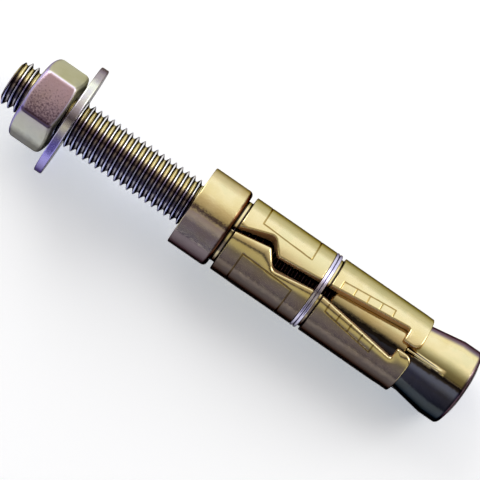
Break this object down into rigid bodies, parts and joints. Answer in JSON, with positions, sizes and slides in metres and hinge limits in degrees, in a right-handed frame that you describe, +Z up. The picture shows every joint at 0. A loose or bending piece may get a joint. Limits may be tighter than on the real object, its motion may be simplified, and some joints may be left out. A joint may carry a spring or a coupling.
{
  "type": "expansion bolt",
  "caption": "Shield-type expansion bolt: threaded stud with hex nut and washer, split shield held by a ferrule and wire ring, and a coned expander that spreads it.",
  "frame": {"origin": "on the bolt's axis, at the outer face of the ferrule, where the fixture bears", "axes": "+X along the axis from the stud's tip to the expander, into the hole; +Z up with the bolt lying on its washer and its expander's rim"},
  "size_m": [0.1262, 0.0286, 0.0285],
  "materials": {
    "stud_zinc": "yellow-passivated zinc plate, satin, with violet and green tints",
    "nut_zinc": "yellow-passivated zinc plate, satin, with violet and green tints",
    "washer_zinc": "yellow-passivated zinc plate, satin, with violet and green tints",
    "ferrule_zinc": "yellow-passivated zinc plate, satin, with violet and green tints",
    "shield_zinc": "yellow-passivated zinc plate, satin, with violet and green tints",
    "ring_wire": "drawn spring wire, zinc plated, bluish violet",
    "expander_zinc": "yellow-passivated zinc plate, satin, with violet and green tints"
  },
  "bodies": {
    "shield": {"ferrule": "ferrule_zinc", "retaining_ring": "ring_wire"},
    "bolt": {"stud": "stud_zinc", "expander": "expander_zinc"},
    "segment_1": {"segment_1": "shield_zinc"},
    "segment_2": {"segment_2": "shield_zinc"},
    "segment_3": {"segment_3": "shield_zinc"},
    "washer": {"washer": "washer_zinc"},
    "nut": {"nut": "nut_zinc"}
  },
  "joints": [
    {"name": "bolt_draw", "type": "slide", "parent": "shield", "child": "bolt", "axis": [-1, 0, 0], "range_m": [0, 0.0085], "deforming": ["retaining_ring"]},
    {"name": "segment_1_swing", "type": "hinge", "parent": "shield", "child": "segment_1", "pos_m": [0.0101, 0.00706, 0.00407], "axis": [0, -0.5, 0.866], "range_deg": [0, 2.45]},
    {"name": "segment_2_swing", "type": "hinge", "parent": "shield", "child": "segment_2", "pos_m": [0.0101, 0, -0.00815], "axis": [0, 1, 0], "range_deg": [0, 2.45]},
    {"name": "segment_3_swing", "type": "hinge", "parent": "shield", "child": "segment_3", "pos_m": [0.0101, -0.00706, 0.00407], "axis": [0, -0.5, -0.866], "range_deg": [0, 2.45]},
    {"name": "washer_slide", "type": "slide", "parent": "bolt", "child": "washer", "axis": [1, 0, 0], "range_m": [-0.0053, 0.0316]},
    {"name": "nut_turn", "type": "hinge", "parent": "washer", "child": "nut", "pos_m": [-0.04, 0, 0], "axis": [1, 0, 0], "range_deg": [-1080, 6480]}
  ],
  "couplings": [
    {"joint": "segment_1_swing", "follows": "bolt_draw", "rad_per_m": 5},
    {"joint": "segment_2_swing", "follows": "bolt_draw", "rad_per_m": 5},
    {"joint": "segment_3_swing", "follows": "bolt_draw", "rad_per_m": 5},
    {"joint": "washer_slide", "follows": "nut_turn", "m_per_rad": 0.00027852}
  ]
}
